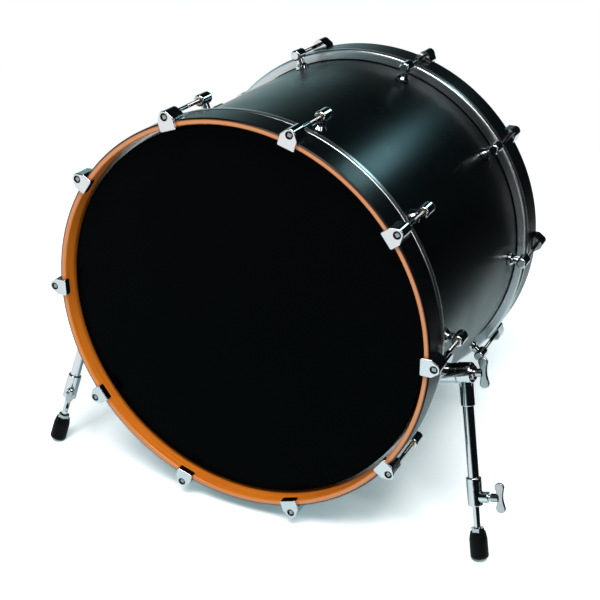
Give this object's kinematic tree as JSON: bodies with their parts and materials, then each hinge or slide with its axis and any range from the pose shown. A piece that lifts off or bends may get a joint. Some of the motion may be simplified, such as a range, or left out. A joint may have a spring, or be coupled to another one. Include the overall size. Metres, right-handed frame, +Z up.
{
  "type": "bass drum",
  "caption": "Bass drum on folding, telescoping spurs: a glossy black shell whose heads are held by wooden hoops, claws and turning tension rods.",
  "frame": {"origin": "on the floor, under the middle of the drum's outer box; the drum's axis is 7.5 mm to the left, because only the right clamp screw points outwards", "axes": "+X to the right as seen by the audience, -Y out of the front head, which leans up 2.4 degrees, +Z up"},
  "size_m": [0.7729, 0.5302, 0.6101],
  "materials": {
    "shell_lacquer": "black high gloss lacquer over a wood shell",
    "hoop_wood": "amber lacquered wood, black outside",
    "front_film": "black polyester film",
    "rear_film": "coated off-white polyester film",
    "flesh_aluminium": "plain extruded aluminium",
    "cast_chrome": "chrome plated casting",
    "rod_chrome": "chrome plated steel",
    "tube_chrome": "chrome plated steel tube",
    "wing_chrome": "chrome plated casting",
    "screw_steel": "zinc plated steel",
    "nut_brass": "plain brass",
    "washer_nylon": "nylon",
    "black_rubber": "black rubber"
  },
  "bodies": {
    "drum": {"shell": "shell_lacquer", "front_head_film": "front_film", "front_flesh_hoop": "flesh_aluminium", "front_hoop": "hoop_wood", "front_claws": "cast_chrome", "front_lugs": "cast_chrome", "rear_head_film": "rear_film", "rear_flesh_hoop": "flesh_aluminium", "rear_hoop": "hoop_wood", "rear_claws": "cast_chrome", "rear_lugs": "cast_chrome", "claw_liners": "black_rubber", "rod_washers": "washer_nylon", "lug_gaskets": "black_rubber", "swivel_nuts": "nut_brass", "lug_screws": "screw_steel", "lug_washers": "screw_steel", "right_spur_bracket": "cast_chrome", "right_spur_gasket": "black_rubber", "right_spur_screws": "screw_steel", "left_spur_bracket": "cast_chrome", "left_spur_gasket": "black_rubber", "left_spur_screws": "screw_steel"},
    "front_tension_rod_01": {"front_tension_rod_01": "rod_chrome"},
    "front_tension_rod_02": {"front_tension_rod_02": "rod_chrome"},
    "front_tension_rod_03": {"front_tension_rod_03": "rod_chrome"},
    "front_tension_rod_04": {"front_tension_rod_04": "rod_chrome"},
    "front_tension_rod_05": {"front_tension_rod_05": "rod_chrome"},
    "front_tension_rod_06": {"front_tension_rod_06": "rod_chrome"},
    "front_tension_rod_07": {"front_tension_rod_07": "rod_chrome"},
    "front_tension_rod_08": {"front_tension_rod_08": "rod_chrome"},
    "front_tension_rod_09": {"front_tension_rod_09": "rod_chrome"},
    "front_tension_rod_10": {"front_tension_rod_10": "rod_chrome"},
    "rear_tension_rod_01": {"rear_tension_rod_01": "rod_chrome"},
    "rear_tension_rod_02": {"rear_tension_rod_02": "rod_chrome"},
    "rear_tension_rod_03": {"rear_tension_rod_03": "rod_chrome"},
    "rear_tension_rod_04": {"rear_tension_rod_04": "rod_chrome"},
    "rear_tension_rod_05": {"rear_tension_rod_05": "rod_chrome"},
    "rear_tension_rod_06": {"rear_tension_rod_06": "rod_chrome"},
    "rear_tension_rod_07": {"rear_tension_rod_07": "rod_chrome"},
    "rear_tension_rod_08": {"rear_tension_rod_08": "rod_chrome"},
    "rear_tension_rod_09": {"rear_tension_rod_09": "rod_chrome"},
    "rear_tension_rod_10": {"rear_tension_rod_10": "rod_chrome"},
    "right_leg": {"right_leg_holder": "cast_chrome", "right_leg_tube": "tube_chrome", "right_leg_collar": "cast_chrome"},
    "right_leg_rod": {"right_leg_rod": "tube_chrome", "right_lock_nut": "wing_chrome", "right_foot": "black_rubber"},
    "right_pivot_wing_bolt": {"right_pivot_wing_bolt": "wing_chrome"},
    "right_clamp_wing_screw": {"right_clamp_wing_screw": "wing_chrome"},
    "left_leg": {"left_leg_holder": "cast_chrome", "left_leg_tube": "tube_chrome", "left_leg_collar": "cast_chrome"},
    "left_leg_rod": {"left_leg_rod": "tube_chrome", "left_lock_nut": "wing_chrome", "left_foot": "black_rubber"},
    "left_pivot_wing_bolt": {"left_pivot_wing_bolt": "wing_chrome"},
    "left_clamp_wing_screw": {"left_clamp_wing_screw": "wing_chrome"}
  },
  "joints": [
    {"name": "front_tension_rod_01_turn", "type": "hinge", "parent": "drum", "child": "front_tension_rod_01", "pos_m": [0.08551, -0.18784, 0.59943], "axis": [0, -0.9991, 0.0419], "continuous": true},
    {"name": "front_tension_rod_02_turn", "type": "hinge", "parent": "drum", "child": "front_tension_rod_02", "pos_m": [0.23601, -0.19242, 0.49018], "axis": [0, -0.9991, 0.0419], "continuous": true},
    {"name": "front_tension_rod_03_turn", "type": "hinge", "parent": "drum", "child": "front_tension_rod_03", "pos_m": [0.2935, -0.19983, 0.31341], "axis": [0, -0.9991, 0.0419], "continuous": true},
    {"name": "front_tension_rod_04_turn", "type": "hinge", "parent": "drum", "child": "front_tension_rod_04", "pos_m": [0.23601, -0.20723, 0.13665], "axis": [0, -0.9991, 0.0419], "continuous": true},
    {"name": "front_tension_rod_05_turn", "type": "hinge", "parent": "drum", "child": "front_tension_rod_05", "pos_m": [0.08551, -0.21181, 0.0274], "axis": [0, -0.9991, 0.0419], "continuous": true},
    {"name": "front_tension_rod_06_turn", "type": "hinge", "parent": "drum", "child": "front_tension_rod_06", "pos_m": [-0.10051, -0.21181, 0.0274], "axis": [0, -0.9991, 0.0419], "continuous": true},
    {"name": "front_tension_rod_07_turn", "type": "hinge", "parent": "drum", "child": "front_tension_rod_07", "pos_m": [-0.25101, -0.20723, 0.13665], "axis": [0, -0.9991, 0.0419], "continuous": true},
    {"name": "front_tension_rod_08_turn", "type": "hinge", "parent": "drum", "child": "front_tension_rod_08", "pos_m": [-0.3085, -0.19983, 0.31341], "axis": [0, -0.9991, 0.0419], "continuous": true},
    {"name": "front_tension_rod_09_turn", "type": "hinge", "parent": "drum", "child": "front_tension_rod_09", "pos_m": [-0.25101, -0.19242, 0.49018], "axis": [0, -0.9991, 0.0419], "continuous": true},
    {"name": "front_tension_rod_10_turn", "type": "hinge", "parent": "drum", "child": "front_tension_rod_10", "pos_m": [-0.10051, -0.18784, 0.59943], "axis": [0, -0.9991, 0.0419], "continuous": true},
    {"name": "rear_tension_rod_01_turn", "type": "hinge", "parent": "drum", "child": "rear_tension_rod_01", "pos_m": [-0.10051, 0.21181, 0.58268], "axis": [0, 0.9991, -0.0419], "continuous": true},
    {"name": "rear_tension_rod_02_turn", "type": "hinge", "parent": "drum", "child": "rear_tension_rod_02", "pos_m": [-0.25101, 0.20723, 0.47343], "axis": [0, 0.9991, -0.0419], "continuous": true},
    {"name": "rear_tension_rod_03_turn", "type": "hinge", "parent": "drum", "child": "rear_tension_rod_03", "pos_m": [-0.3085, 0.19983, 0.29667], "axis": [0, 0.9991, -0.0419], "continuous": true},
    {"name": "rear_tension_rod_04_turn", "type": "hinge", "parent": "drum", "child": "rear_tension_rod_04", "pos_m": [-0.25101, 0.19242, 0.1199], "axis": [0, 0.9991, -0.0419], "continuous": true},
    {"name": "rear_tension_rod_05_turn", "type": "hinge", "parent": "drum", "child": "rear_tension_rod_05", "pos_m": [-0.10051, 0.18784, 0.01065], "axis": [0, 0.9991, -0.0419], "continuous": true},
    {"name": "rear_tension_rod_06_turn", "type": "hinge", "parent": "drum", "child": "rear_tension_rod_06", "pos_m": [0.08551, 0.18784, 0.01065], "axis": [0, 0.9991, -0.0419], "continuous": true},
    {"name": "rear_tension_rod_07_turn", "type": "hinge", "parent": "drum", "child": "rear_tension_rod_07", "pos_m": [0.23601, 0.19242, 0.1199], "axis": [0, 0.9991, -0.0419], "continuous": true},
    {"name": "rear_tension_rod_08_turn", "type": "hinge", "parent": "drum", "child": "rear_tension_rod_08", "pos_m": [0.2935, 0.19983, 0.29667], "axis": [0, 0.9991, -0.0419], "continuous": true},
    {"name": "rear_tension_rod_09_turn", "type": "hinge", "parent": "drum", "child": "rear_tension_rod_09", "pos_m": [0.23601, 0.20723, 0.47343], "axis": [0, 0.9991, -0.0419], "continuous": true},
    {"name": "rear_tension_rod_10_turn", "type": "hinge", "parent": "drum", "child": "rear_tension_rod_10", "pos_m": [0.08551, 0.21181, 0.58268], "axis": [0, 0.9991, -0.0419], "continuous": true},
    {"name": "right_spur_fold", "type": "hinge", "parent": "drum", "child": "right_leg", "pos_m": [0.30095, -0.1398, 0.25303], "axis": [0.974, 0.0095, 0.2265], "range_deg": [0, 103.9]},
    {"name": "right_leg_slide", "type": "slide", "parent": "right_leg", "child": "right_leg_rod", "axis": [0.22, -0.2796, -0.9346], "range_m": [-0.025, 0.07]},
    {"name": "right_pivot_bolt_turn", "type": "hinge", "parent": "drum", "child": "right_pivot_wing_bolt", "pos_m": [0.30095, -0.1398, 0.25303], "axis": [0.974, 0.0095, 0.2265], "continuous": true},
    {"name": "right_clamp_screw_turn", "type": "hinge", "parent": "right_leg", "child": "right_clamp_wing_screw", "pos_m": [0.34004, -0.18947, 0.087], "axis": [0.974, 0.0095, 0.2265], "continuous": true},
    {"name": "left_spur_fold", "type": "hinge", "parent": "drum", "child": "left_leg", "pos_m": [-0.31595, -0.1398, 0.25303], "axis": [0.974, -0.0095, -0.2265], "range_deg": [0, 103.9]},
    {"name": "left_leg_slide", "type": "slide", "parent": "left_leg", "child": "left_leg_rod", "axis": [-0.22, -0.2796, -0.9346], "range_m": [-0.025, 0.07]},
    {"name": "left_pivot_bolt_turn", "type": "hinge", "parent": "drum", "child": "left_pivot_wing_bolt", "pos_m": [-0.31595, -0.1398, 0.25303], "axis": [-0.974, 0.0095, 0.2265], "continuous": true},
    {"name": "left_clamp_screw_turn", "type": "hinge", "parent": "left_leg", "child": "left_clamp_wing_screw", "pos_m": [-0.35504, -0.18947, 0.087], "axis": [0.5341, -0.8362, 0.1244], "continuous": true}
  ]
}
